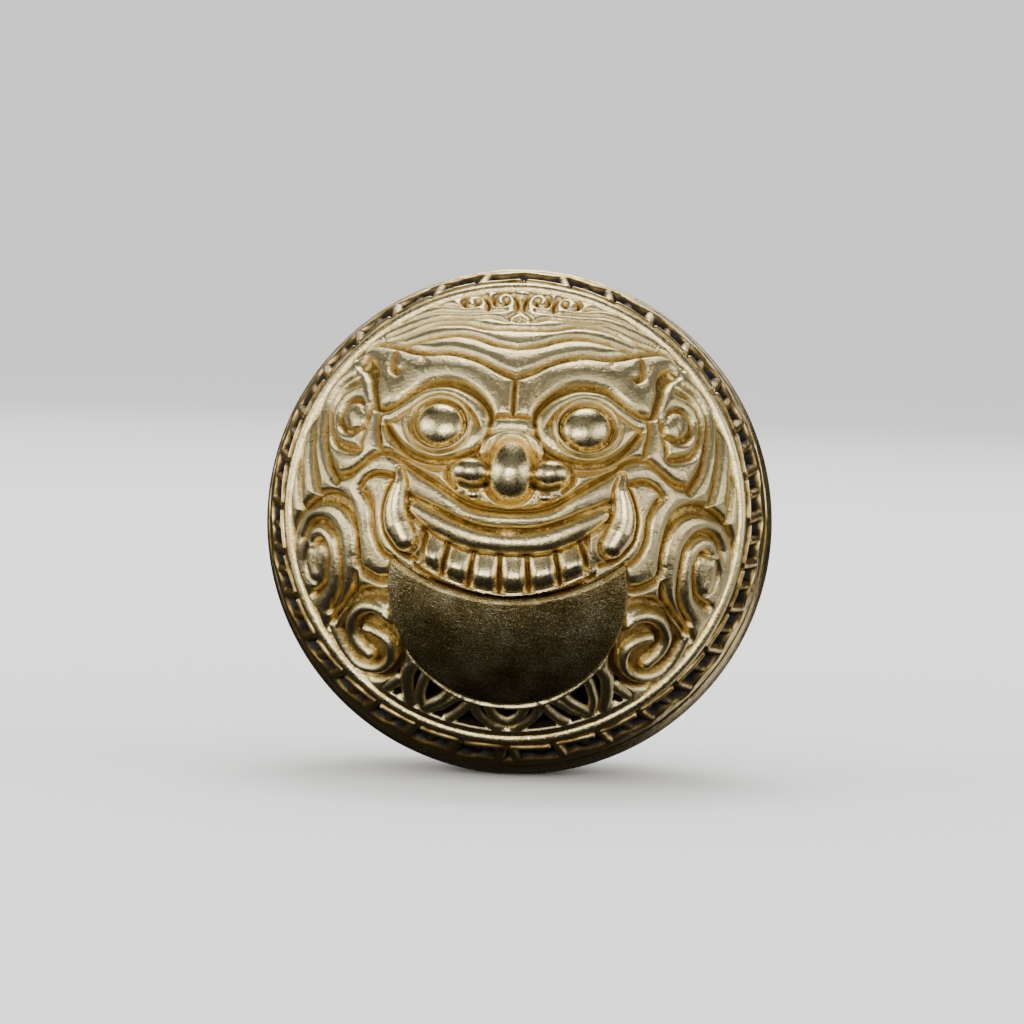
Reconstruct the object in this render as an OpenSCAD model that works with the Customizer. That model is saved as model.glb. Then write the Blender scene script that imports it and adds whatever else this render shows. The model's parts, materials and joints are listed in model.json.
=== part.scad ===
// Weighted goblin-mask ball: a hollow brass ball that stands by itself, face forward.
// A carved face shell and a plain rear shell are drawn together by one tie screw.
// Every piece is drawn along its own face axis, with +Z out of the face, and placed() stands it up.

/* [Ball] */
// Outer diameter of the closed ball
ball_d = 30; // [28:0.5:36]
// Wall thickness of both shells
wall = 1.5; // [1.3:0.1:1.8]
// Angle that the face looks up by when the ball stands
face_tilt = 7; // [0:1:12]
// Diameter of the flat that the ball stands on
foot_d = 4; // [3:0.5:5]

/* [Border] */
// Angle from the face's middle to the border's front edge
border_front_angle = 65.6; // [64:0.2:67]
// Angle from the face's middle to the border's rear edge
border_rear_angle = 80.7; // [79:0.1:82]
// Number of hooks in the fret
fret_hooks = 32; // [24:2:36]
// Depth of the fret's recess
fret_depth = 0.45; // [0.3:0.05:0.5]

/* [Face] */
// Depth of the carved ground below the ball's surface
ground_depth = 0.5; // [0.4:0.1:0.6]
// Angle from the face's middle down to the tongue's middle
tongue_drop = 22; // [21:0.5:23]
// Radius of the tongue disc
tongue_r = 7.1; // [6.8:0.1:7.3]
// Thickness of the tongue disc
tongue_t = 0.9; // [0.7:0.1:1]
// Radius of each eyeball
eye_r = 1.7; // [1.5:0.1:1.8]

/* [Tie screw] */
// Diameter of the screw's shank
screw_d = 3; // [2.5:0.5:3]
// Length of the screw under its head
screw_l = 18; // [16:1:19]
// Diameter of the screw's head
head_d = 5.5; // [5:0.1:5.8]
// Height of the screw's head
head_h = 2; // [1.8:0.1:2.2]
// Thickness of the washer
washer_t = 0.5; // [0.4:0.1:0.6]

/* [Hidden] */
$fn = 96;

ball_r = ball_d / 2;
inner_r = ball_r - wall;
ground_r = ball_r - ground_depth;
centre_h = sqrt(pow(ball_r, 2) - pow(foot_d / 2, 2));

// Planes along the face axis, measured from the ball's centre
border_front = ball_r * cos(border_front_angle);
border_rear = ball_r * cos(border_rear_angle);
border_front_r = ball_r * sin(border_front_angle);

// The stepped joint between the two shells
slip = 0.02;
skirt_r = border_front_r - 1.05;
spigot_r = skirt_r - 0.4;
bore_r = spigot_r - 1;
register_l = 2;
ledge_l = 2;
joint_plane = border_rear - register_l;
ledge_rear = joint_plane - ledge_l;

// The tie screw and the two bosses that it joins
running_gap = 0.05;
head_seat = -(ball_r - 0.4 - head_h);
washer_seat = head_seat + washer_t;
washer_r = head_d / 2 + 0.15;
recess_r = washer_r + 0.15;
rear_boss_r = recess_r + 1.3;
rear_boss_l = 2;
pillar_r = screw_d / 2 + 1.1;
pillar_rear = -1;
screw_tip = head_seat + screw_l;
slot_w = 0.8;
slot_depth = 1;

// The ballast drum, a press fit in the bores of both shells
drum_front = border_front - 0.6;
drum_rear = ledge_rear - 1.4;
drum_wall = 1.2;
drum_bore_r = pillar_r + 0.4;
drum_fill_top = -2.2;

pin_r = 0.4;
pin_l = 2;
pin_offset = (bore_r + spigot_r) / 2;

brass = [0.82, 0.71, 0.45];
pale_brass = [0.86, 0.79, 0.58];
dark_brass = [0.70, 0.58, 0.34];
steel = [0.62, 0.63, 0.65];

// The carving is drawn for a ball of 30 mm, and k scales it
k = ball_d / 30;

// Stands a piece up: +Z of the piece becomes the face axis, looking towards -Y and up by face_tilt.
module placed() {
    translate([0, 0, centre_h]) rotate([90 - face_tilt, 0, 0]) children();
}

// A solid slice of the ball between two planes across the face axis.
module ball_slice(r, low, high) {
    intersection() {
        sphere(r = r);
        translate([0, 0, low]) cylinder(r = r + 1, h = high - low);
    }
}

// Moves a piece to the point of the ball that lies at x, y as seen from in front.
module on_ball(x, y, r = ground_r) {
    translate([x, y, sqrt(r * r - x * x - y * y)]) children();
}

// Copies a piece to the other side of the face.
module both_sides() {
    children();
    mirror([1, 0, 0]) children();
}

// A rounded roll along an arc of the ball round the point x, y, half sunk in the ground.
// Its angles are seen from in front and start at +X.
module arc_roll(x, y, arc_r, bar_r, start, sweep) {
    up = asin(y / ground_r);
    across = asin(x / ground_r / cos(up));
    rotate([-up, across, 0])
        translate([0, 0, sqrt(ground_r * ground_r - arc_r * arc_r)])
            rotate([0, 0, start])
                rotate_extrude(angle = sweep) translate([arc_r, 0]) circle(r = bar_r, $fn = 32);
}

module eyes() {
    both_sides() {
        on_ball(4.35 * k, 4.75 * k, ground_r - 1.2 * k) sphere(r = eye_r * k);
        arc_roll(4.35 * k, 4.75 * k, 2.5 * k, 0.3 * k, 0, 360);
    }
}

module nose() {
    on_ball(0, 2.3 * k, ground_r - k) sphere(r = 1.5 * k);
    on_ball(0, 1.3 * k, ground_r - 0.8 * k) sphere(r = 1.3 * k);
    both_sides() on_ball(2.35 * k, 1.65 * k, ground_r - 0.6 * k) sphere(r = 1.1 * k);
}

module brows() {
    both_sides() {
        arc_roll(5 * k, 3.9 * k, 4.5 * k, 0.6 * k, 40, 112);
        arc_roll(5.1 * k, 4.4 * k, 6.6 * k, 0.3 * k, 62, 74);
    }
}

module mouth() {
    arc_roll(0, 6.2 * k, 7.6 * k, 0.35 * k, 222, 96);
    arc_roll(0, 5.4 * k, 8 * k, 0.55 * k, 227, 86);
    both_sides() {
        arc_roll(4.9 * k, -0.5 * k, 2.6 * k, 0.5 * k, -80, 134);
        arc_roll(3.2 * k, -0.8 * k, 6.4 * k, 0.4 * k, -30, 58);
    }
}

module teeth() {
    both_sides() for (tooth = [[0.9, -4.3], [2.6, -3.9], [4.2, -3.2]])
        on_ball(tooth[0] * k, tooth[1] * k, ground_r - 0.2 * k) sphere(r = 0.75 * k);
}

module curls() {
    both_sides() {
        arc_roll(9.5 * k, 5.1 * k, 1.3 * k, 0.35 * k, 0, 360);
        arc_roll(11.2 * k, -1.9 * k, 1.5 * k, 0.4 * k, 0, 360);
        arc_roll(8.2 * k, -7.75 * k, 1.5 * k, 0.4 * k, 0, 360);
    }
}

// The tongue's outline: a round disc, cut away above along the arc of the teeth.
module tongue_form(grow, inside_r, outside_r) {
    intersection() {
        difference() {
            sphere(r = outside_r);
            sphere(r = inside_r);
        }
        difference() {
            rotate([tongue_drop, 0, 0]) cylinder(r = tongue_r * k + grow, h = ball_r + 5);
            translate([0, 5.5 * k, 0]) cylinder(r = 11.1 * k - grow, h = ball_r + 5);
        }
    }
}

module face_shell() {
    skirt_l = border_front - border_rear;
    bead_front = ball_r * cos(border_front_angle - 2.6);
    color(brass) placed() difference() {
        union() {
            difference() {
                union() {
                    ball_slice(ground_r, border_front, ball_r);
                    ball_slice(ball_r, border_front, bead_front);
                    translate([0, 0, border_rear]) cylinder(r = skirt_r, h = skirt_l + 0.5);
                    translate([0, 0, joint_plane]) cylinder(r = spigot_r, h = register_l + 0.5);
                    eyes();
                    nose();
                    brows();
                    mouth();
                    teeth();
                    curls();
                }
                intersection() {
                    sphere(r = inner_r - ground_depth);
                    translate([0, 0, -ball_r]) cylinder(r = bore_r, h = 2 * ball_r);
                }
            }
            translate([0, 0, pillar_rear])
                cylinder(r = pillar_r, h = inner_r - ground_depth / 2 - pillar_rear);
        }
        translate([0, 0, pillar_rear - 1])
            cylinder(r = screw_d / 2 + running_gap, h = screw_tip + 2 - pillar_rear + 1);
        tongue_form(slip, ball_r - tongue_t - slip, ball_r + 5);
        pin_holes();
    }
}

module tongue_plate() {
    color(pale_brass) placed() tongue_form(0, ball_r - tongue_t, ball_r);
}

// Radius of the ball at a plane across the face axis.
function ball_at(plane) = sqrt(ball_r * ball_r - plane * plane);

// A ring, or part of one, that follows the ball between two planes, sunk below its surface.
module band_slice(low, high, sunk, sweep = 360) {
    rotate_extrude(angle = sweep)
        polygon([[skirt_r + slip, low], [ball_at(low) - sunk, low],
                 [ball_at(high) - sunk, high], [skirt_r + slip, high]]);
}

// One hook of the fret: a stem across the band, and a bar along the band at the stem's front end.
module fret_hook(pitch, rear, front) {
    bar_w = 0.12 * (front - rear);
    inside_r = skirt_r + 0.2;
    rotate([90, 0, 0]) translate([0, 0, -bar_w / 2]) linear_extrude(bar_w)
        polygon([[inside_r, rear - 0.1], [ball_at(rear) - 0.1, rear - 0.1],
                 [ball_at(front) - 0.1, front - bar_w / 2], [inside_r, front - bar_w / 2]]);
    rotate([0, 0, -0.12 * pitch]) rotate_extrude(angle = 0.82 * pitch)
        polygon([[inside_r, front - bar_w], [ball_at(front - bar_w) - 0.05, front - bar_w],
                 [ball_at(front) - 0.05, front], [inside_r, front]]);
}

module border_ring() {
    front = border_front - slip;
    band = front - border_rear;
    rim = 0.09 * band;
    pitch = 360 / fret_hooks;
    color(dark_brass) placed() {
        band_slice(border_rear, front, fret_depth);
        band_slice(border_rear, border_rear + rim, 0);
        band_slice(front - rim, front, 0);
        both_sides() for (i = [0 : fret_hooks / 2 - 1])
            rotate([0, 0, -90 + pitch * (i + 0.25)])
                fret_hook(pitch, border_rear + rim, front - 0.24 * band);
    }
}

module rear_shell() {
    color(brass) difference() {
        placed() difference() {
            union() {
                difference() {
                    ball_slice(ball_r, -ball_r - 1, border_rear - slip);
                    ball_slice(inner_r, -ball_r, ledge_rear);
                    translate([0, 0, ledge_rear - 1]) cylinder(r = bore_r, h = ledge_l + 2);
                    translate([0, 0, joint_plane - slip]) cylinder(r = spigot_r + slip, h = register_l + 1);
                }
                intersection() {
                    sphere(r = ball_r - wall / 2);
                    translate([0, 0, -ball_r])
                        cylinder(r = rear_boss_r, h = ball_r + washer_seat + rear_boss_l);
                }
            }
            translate([0, 0, -ball_r - 1]) cylinder(r = recess_r, h = ball_r + 1 + washer_seat);
            translate([0, 0, -ball_r - 1]) cylinder(r = screw_d / 2 + 2 * running_gap, h = ball_r);
            pin_holes();
        }
        translate([-ball_r, -ball_r, -ball_r]) cube([ball_d, ball_d, ball_r]);
    }
}

// A round drum with its upper half hollowed out, so that its weight hangs below the ball's centre.
module ballast_drum() {
    drum_l = drum_front - drum_rear;
    color(steel) placed() translate([0, 0, drum_rear]) difference() {
        cylinder(r = bore_r - slip, h = drum_l);
        translate([0, 0, -1]) cylinder(r = drum_bore_r, h = drum_l + 2);
        translate([0, 0, -1]) intersection() {
            cylinder(r = bore_r - slip - drum_wall, h = drum_l + 2);
            translate([-ball_r, drum_fill_top, 0]) cube([ball_d, ball_d, drum_l + 2]);
        }
    }
}

// A pair of upright cylinders across the joint between the shells.
module pin_pair(r, l) {
    for (side = [-1, 1])
        translate([side * pin_offset, 0, joint_plane - l / 2]) cylinder(r = r, h = l, $fn = 32);
}

module pin_holes() {
    pin_pair(pin_r + slip / 2, pin_l + 0.2);
}

module locating_pins() {
    color(steel) placed() pin_pair(pin_r, pin_l);
}

module washer() {
    color(steel) placed() translate([0, 0, head_seat]) difference() {
        cylinder(r = washer_r, h = washer_t);
        translate([0, 0, -1]) cylinder(r = screw_d / 2 + 2 * running_gap, h = washer_t + 2);
    }
}

module tie_screw() {
    color(steel) placed() translate([0, 0, head_seat]) difference() {
        union() {
            translate([0, 0, -head_h]) cylinder(r = head_d / 2, h = head_h - slip);
            translate([0, 0, -1]) cylinder(r = screw_d / 2, h = screw_l + 1);
        }
        translate([-head_d, -slot_w / 2, -head_h - 1]) cube([2 * head_d, slot_w, slot_depth + 1]);
    }
}

face_shell();
tongue_plate();
border_ring();
rear_shell();
ballast_drum();
locating_pins();
washer();
tie_screw();
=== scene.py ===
"""A weighted brass ball with a carved goblin mask, its fret border, plain back and tie screw."""

import json
import math

import bpy
import numpy as np
from mathutils import Matrix, Vector


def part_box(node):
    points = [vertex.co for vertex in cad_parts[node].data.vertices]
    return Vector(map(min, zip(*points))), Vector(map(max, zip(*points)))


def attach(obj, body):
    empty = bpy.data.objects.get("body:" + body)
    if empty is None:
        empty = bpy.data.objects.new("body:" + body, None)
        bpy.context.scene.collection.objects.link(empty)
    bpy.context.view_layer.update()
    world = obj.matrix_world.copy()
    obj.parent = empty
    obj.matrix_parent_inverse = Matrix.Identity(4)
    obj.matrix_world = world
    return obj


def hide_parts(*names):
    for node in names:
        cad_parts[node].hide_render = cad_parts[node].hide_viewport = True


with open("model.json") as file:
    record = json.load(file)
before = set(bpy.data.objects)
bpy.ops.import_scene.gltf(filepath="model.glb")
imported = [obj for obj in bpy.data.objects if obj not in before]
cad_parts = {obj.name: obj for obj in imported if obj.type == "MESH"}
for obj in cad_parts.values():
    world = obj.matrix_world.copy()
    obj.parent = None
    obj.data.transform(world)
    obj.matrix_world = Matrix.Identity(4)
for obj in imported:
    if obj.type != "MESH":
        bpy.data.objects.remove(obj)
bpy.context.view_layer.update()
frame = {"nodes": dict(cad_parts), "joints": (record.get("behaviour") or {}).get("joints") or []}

MM = 0.001

# ---------------------------------------------------------------------------------------------------------
# The ball's own frame: x to the viewer's right, y up the face, u out of the face, all in mm from its centre
# ---------------------------------------------------------------------------------------------------------

screw_joint = next(j for j in frame["joints"] if j["name"] == "screw_turn")
CENTRE = Vector(screw_joint["pos_m"]) / MM
FACE_OUT = -Vector(screw_joint["axis"]).normalized()
FACE_RIGHT = Vector((1, 0, 0))
FACE_UP = FACE_OUT.cross(FACE_RIGHT)

rear_low, rear_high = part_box("rear_shell")
BALL_R = round((rear_high.x - rear_low.x) / 2 / MM, 1)

# Angles from the face axis: the bead ring's front edge, and the fret band's front and rear edges
BORDER_FRONT = math.radians(65.6)
BORDER_REAR = math.radians(80.7)
BEAD_FRONT = math.radians(62.6)

# Inner sizes in mm, as in the CAD: radii of the ring's seat, the spigot that joins the shells, the bore and
# the domed hollow, the gap at a join, and the spigot's length
SKIRT_R = 12.6
SPIGOT_R = 12.2
BORE_R = 11.2
DOME_R = 13.0
GAP = 0.02
SPIGOT_LENGTH = 2


def to_world(points):
    """Points of the ball's frame in mm, as an n by 3 array in the CAD frame in metres."""
    axes = np.array([FACE_RIGHT[:], FACE_UP[:], FACE_OUT[:]])
    return (np.asarray(points) @ axes + np.array(CENTRE[:])) * MM


def on_sphere(xy, radius=BALL_R):
    """Lifts points seen from in front, an n by 2 array, to the sphere."""
    xy = np.asarray(xy, float)
    u = np.sqrt(np.maximum(radius**2 - (xy**2).sum(1), 0))
    return np.column_stack([xy, u])


def smooth_step(low, high, value):
    """0 up to low, 1 from high, and a smooth rise between. With low above high it falls instead."""
    t = np.clip((value - low) / (high - low), 0, 1)
    return t * t * (3 - 2 * t)


def curve(points, step=0.12):
    """A Catmull-Rom curve through the points, sampled about every step mm."""
    p = np.asarray(points, float)
    if len(p) == 2:
        n = max(2, int(np.linalg.norm(p[1] - p[0]) / step) + 1)
        t = np.linspace(0, 1, n)[:, None]
        return p[0] * (1 - t) + p[1] * t
    ends = np.vstack([2 * p[0] - p[1], p, 2 * p[-1] - p[-2]])
    out = []
    for a, b, c, d in zip(ends, ends[1:], ends[2:], ends[3:]):
        n = max(2, int(np.linalg.norm(c - b) / step) + 1)
        t = np.linspace(0, 1, n, endpoint=False)[:, None]
        out.append(0.5 * (2 * b + (c - a) * t + (2 * a - 5 * b + 4 * c - d) * t**2
                          + (3 * b - a - 3 * c + d) * t**3))
    return np.vstack(out + [p[-1:]])


def distance_to(points3, line3):
    """Distance from each 3-D point to a 3-D polyline, and how far along the polyline (0 to 1) it is."""
    a, b = line3[:-1], line3[1:]
    ab = b - a
    length2 = np.maximum((ab**2).sum(1), 1e-12)
    seg = np.sqrt(length2)
    start = np.concatenate([[0], np.cumsum(seg)])[:-1]
    total = seg.sum()
    best = np.full(len(points3), 1e9)
    along = np.zeros(len(points3))
    chunk = 20000
    for low in range(0, len(points3), chunk):
        p = points3[low:low + chunk]
        ap = p[:, None, :] - a[None]
        t = np.clip((ap * ab[None]).sum(2) / length2[None], 0, 1)
        d2 = ((ap - t[..., None] * ab[None])**2).sum(2)
        k = d2.argmin(1)
        rows = np.arange(len(p))
        best[low:low + chunk] = np.sqrt(d2[rows, k])
        along[low:low + chunk] = (start[k] + t[rows, k] * seg[k]) / total
    return best, along


def lattice_noise(p, scale, seed):
    """Smooth value noise from -1 to 1 at 3-D points, with features of about scale mm."""
    q = np.asarray(p) / scale
    cell = np.floor(q).astype(np.int64)
    f = q - cell
    f = f * f * (3 - 2 * f)

    def corner(dx, dy, dz):
        n = ((cell[:, 0] + dx) * 73856093) ^ ((cell[:, 1] + dy) * 19349663)
        n = n ^ ((cell[:, 2] + dz) * 83492791) ^ (seed * 2654435761)
        n = (n ^ (n >> 13)) * 1274126177
        return ((n ^ (n >> 16)) & 0xFFFF) / 32767.5 - 1

    total = 0
    for dx in (0, 1):
        wx = f[:, 0] if dx else 1 - f[:, 0]
        for dy in (0, 1):
            wy = f[:, 1] if dy else 1 - f[:, 1]
            for dz in (0, 1):
                wz = f[:, 2] if dz else 1 - f[:, 2]
                total = total + wx * wy * wz * corner(dx, dy, dz)
    return total


# ---------------------------------------------------------------------------------------------------------
# The carving. Lines are drawn for the viewer's right half, in mm as seen from in front, and mirrored
# ---------------------------------------------------------------------------------------------------------

# Grooves: depth, shoulder width, half-width of the flat floor from start to end, points
GROOVES = {
    # brow
    "brow_under": (0.52, 0.40, (0.04, 0.15, 0.14, 0.04),
                   [(1.35, 4.5), (1.3, 5.2), (1.7, 5.95), (2.45, 6.6), (3.4, 7.05), (4.4, 7.15),
                    (5.4, 6.95), (6.2, 6.45), (7.0, 5.85), (7.7, 5.55), (8.25, 5.6)]),
    "bridge_high": (0.40, 0.22, 0.05, [(0, 5.12), (0.7, 5.1), (1.3, 5.0)]),
    "bridge_low": (0.34, 0.22, 0.05, [(0, 4.2), (0.7, 4.12), (1.3, 3.95), (1.7, 3.4)]),
    "brow_middle": (0.42, 0.26, 0.05, [(0, 5.2), (0, 7.4)]),
    "brow_over": (0.46, 0.38, (0.12, 0.09, 0.08, 0.03),
                  [(0, 7.55), (1.0, 7.95), (2.0, 8.5), (3.0, 8.85), (4.1, 9.05), (5.2, 9.0), (6.1, 9.15),
                   (6.9, 9.42), (7.6, 9.6), (8.4, 9.75), (9.1, 9.45), (9.6, 8.9)]),
    "brow_notch": (0.26, 0.16, 0.02, [(5.75, 9.0), (5.55, 8.6)]),
    "brow_nick": (0.20, 0.14, 0.02, [(3.6, 8.95), (3.45, 8.65)]),
    "brow_drop": (0.42, 0.20, (0.03, 0.10, 0.16), [(7.25, 9.3), (7.42, 8.6), (7.4, 8.0), (7.08, 7.78)]),
    "brow_end": (0.52, 0.30, (0.32, 0.30, 0.14, 0.08),
                 [(9.25, 8.55), (8.8, 8.2), (8.55, 7.6), (8.5, 6.9), (8.35, 6.2), (8.2, 5.6)]),
    # forehead and hair
    "forehead_low": (0.40, 0.30, (0.06, 0.10, 0.09, 0.04),
                     [(0, 9.4), (1.2, 9.6), (2.2, 9.98), (3.1, 10.18), (4.0, 10.2), (5.1, 10.02),
                      (5.9, 9.8), (6.8, 9.5)]),
    "forehead_high": (0.40, 0.30, (0.05, 0.09, 0.08, 0.04),
                      [(0, 10.62), (1.9, 10.68), (3.1, 10.95), (4.1, 10.97), (5.0, 10.88), (5.9, 10.6),
                       (6.7, 10.2), (7.5, 9.9), (8.3, 9.8)]),
    "hair_low": (0.36, 0.24, 0.06, [(0.75, 11.15), (1.7, 11.38), (2.7, 11.3), (4.0, 11.3), (5.0, 11.3),
                                    (6.0, 11.0), (7.0, 10.6), (8.0, 10.15)]),
    "hair_middle": (0.40, 0.24, 0.05, [(0.95, 11.9), (1.85, 11.78), (2.8, 11.72), (4.0, 11.75),
                                       (4.9, 11.8), (5.8, 11.62), (6.8, 11.25), (7.7, 10.85), (8.6, 10.3),
                                       (9.3, 9.6)]),
    "hair_high": (0.40, 0.24, 0.05, [(3.75, 12.1), (4.1, 12.2), (4.6, 12.25), (5.2, 12.25), (6.2, 12.0),
                                     (7.3, 11.5), (8.4, 10.85), (9.3, 10.05), (10.1, 9.15)]),
    "hair_top": (0.34, 0.20, 0.03, [(3.85, 12.75), (4.5, 12.72), (5.4, 12.6), (6.6, 12.1)]),
    "crest_out": (0.40, 0.20, 0.03, [(0, 11.98), (0.35, 11.68), (0.75, 11.38)]),
    "crest_in": (0.30, 0.16, 0.03, [(0, 11.35), (0.3, 11.15), (0, 11.05)]),
    "scroll_side": (0.50, 0.26, 0.05, [(0.22, 11.95), (0.2, 12.55), (0.6, 13.08), (1.3, 13.1),
                                       (1.68, 12.65), (1.4, 12.22), (0.92, 12.35), (0.95, 12.7)]),
    "scroll_out": (0.50, 0.26, 0.05, [(1.98, 11.95), (1.98, 12.5), (2.4, 12.92), (3.1, 12.88),
                                      (3.5, 12.45), (3.15, 12.12), (2.65, 12.25), (2.68, 12.55)]),
    # ear
    "ear_out": (0.46, 0.32, (0.10, 0.16, 0.08), [(9.1, 3.12), (9.8, 3.2), (10.5, 3.5), (10.95, 4.2),
                                                 (11.05, 5.2), (10.8, 6.2), (10.2, 7.0), (9.5, 7.3)]),
    "ear_in": (0.46, 0.28, (0.12, 0.14, 0.06), [(8.9, 4.55), (9.5, 4.35), (10.1, 4.4), (10.42, 4.9),
                                                (10.33, 5.6), (9.9, 6.1), (9.4, 6.15), (9.1, 5.8)]),
    "temple_front": (0.40, 0.26, 0.06, [(8.0, 5.4), (8.0, 4.4), (7.85, 3.6), (7.8, 3.0)]),
    "temple_back": (0.42, 0.26, 0.06, [(8.55, 5.7), (8.75, 4.7), (8.98, 3.9), (9.1, 3.1)]),
    # side hair
    "side_in": (0.55, 0.32, (0.05, 0.14, 0.16), [(9.8, 7.75), (10.6, 7.2), (11.2, 6.3), (11.42, 5.2),
                                                 (11.32, 3.6), (11.0, 2.4), (10.4, 1.4)]),
    "side_middle": (0.52, 0.32, (0.06, 0.14, 0.10),
                    [(10.3, 8.4), (11.4, 7.1), (12.0, 5.3), (12.1, 3.5), (11.9, 1.7), (11.6, 0.5)]),
    "side_out": (0.50, 0.30, (0.04, 0.12, 0.08), [(10.0, 9.3), (11.2, 8.2), (12.1, 6.8), (12.68, 5.2),
                                                  (12.9, 3.3), (12.85, 1.3), (12.7, -0.2)]),
    # eye
    "lid_high": (0.26, 0.16, 0.05, [(1.95, 4.45), (2.3, 5.1), (2.9, 5.75), (3.7, 6.2), (4.6, 6.3),
                                    (5.5, 6.0), (6.3, 5.35), (7.0, 4.85), (7.5, 4.62)]),
    "lid_low": (0.48, 0.36, (0.04, 0.13, 0.15, 0.10, 0.04),
                [(1.35, 4.5), (1.5, 3.6), (2.15, 2.95), (3.2, 2.5), (4.4, 2.35), (5.5, 2.55), (6.4, 3.1),
                 (7.05, 3.85), (7.6, 4.6)]),
    "cheek_line": (0.34, 0.24, 0.04, [(3.85, 1.9), (4.9, 1.95), (6.0, 2.35), (6.9, 2.8)]),
    # nose
    "nose_wing": (0.40, 0.26, 0.06, [(1.3, 2.85), (2.1, 2.75), (2.95, 2.55), (3.6, 2.0), (3.65, 1.3),
                                     (3.2, 0.75)]),
    # mouth
    "cheek_fold": (0.46, 0.32, (0.08, 0.09, 0.08, 0.07, 0.08, 0.12),
                   [(0, -0.55), (1.5, -0.42), (2.7, -0.05), (3.6, 0.5), (4.4, 1.02), (5.3, 1.6),
                    (6.1, 2.15), (6.9, 2.75), (7.7, 2.9), (8.3, 2.65), (8.9, 2.15), (9.6, 1.65),
                    (10.4, 1.5)]),
    "lip_between": (0.44, 0.20, (0.06, 0.07, 0.06, 0.04),
                    [(0, -1.6), (1.5, -1.5), (3.0, -1.05), (4.3, -0.45), (5.2, -0.05), (5.95, 0.35)]),
    "tusk_out": (0.46, 0.22, 0.05, [(6.85, 1.3), (7.25, 0.3), (7.42, -0.7), (7.25, -1.65), (6.85, -2.45),
                                    (6.25, -3.05), (5.4, -3.4)]),
    "wedge_top": (0.44, 0.22, 0.06, [(6.85, 1.35), (7.4, 1.55), (7.95, 1.6), (8.5, 1.35), (8.9, 0.85)]),
    "wedge_side": (0.46, 0.24, (0.12, 0.10, 0.06), [(8.75, 0.75), (8.4, 0.25), (8.15, -0.35),
                                                    (8.05, -1.0), (8.0, -1.8), (7.7, -2.6), (7.25, -3.15),
                                                    (6.8, -3.4)]),
    "band_out": (0.58, 0.30, (0.06, 0.10, 0.30, 0.28, 0.10, 0.06),
                 [(8.95, -3.9), (8.98, -2.9), (9.1, -1.9), (9.35, -1.0), (9.75, -0.25), (10.4, 0.2),
                  (11.2, 0.32), (11.95, 0.1), (12.55, -0.3), (12.95, -1.0), (13.1, -1.8)]),
    "band_foot": (0.58, 0.28, (0.10, 0.16, 0.12), [(9.0, -3.3), (8.75, -4.0), (8.2, -4.4), (7.6, -4.65),
                                                   (7.0, -4.6)]),
    # cheek spiral
    "spiral_out": (0.50, 0.32, (0.05, 0.16, 0.10, 0.05),
                   [(12.45, -2.0), (12.05, -1.25), (11.35, -1.1), (10.75, -1.5), (10.35, -2.15),
                    (10.18, -2.95), (10.08, -3.85), (10.08, -4.75), (10.25, -5.5), (10.7, -6.3)]),
    "spiral_mid": (0.46, 0.26, (0.05, 0.10, 0.12), [(11.75, -2.35), (11.3, -2.25), (10.98, -2.8),
                                                    (10.9, -3.4), (10.95, -4.1), (11.05, -4.7),
                                                    (11.4, -5.1), (11.8, -5.3)]),
    "spiral_in": (0.42, 0.22, 0.05, [(12.15, -2.65), (12.28, -3.4), (12.05, -4.15), (11.6, -4.55)]),
    "spiral_foot": (0.52, 0.32, (0.08, 0.12, 0.06),
                    [(9.05, -4.2), (9.2, -5.1), (9.7, -5.85), (10.3, -6.5), (10.75, -7.2)]),
    "spiral_edge": (0.40, 0.26, 0.04, [(13.1, -1.8), (13.1, -3.0), (12.8, -4.2), (12.2, -5.4),
                                       (11.5, -6.6), (10.9, -7.6), (10.2, -8.6)]),
    # lower curl
    "curl_over": (0.55, 0.30, (0.22, 0.26, 0.18, 0.08),
                  [(7.0, -5.75), (7.8, -5.45), (8.7, -5.5), (9.4, -6.05), (9.8, -6.9), (9.75, -7.7),
                   (9.4, -8.3)]),
    "curl_under": (0.62, 0.26, (0.16, 0.20, 0.12, 0.06),
                   [(6.3, -8.1), (6.35, -9.2), (7.1, -9.95), (8.2, -10.1), (9.25, -9.6), (10.05, -8.7),
                    (10.6, -7.8)]),
}

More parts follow.
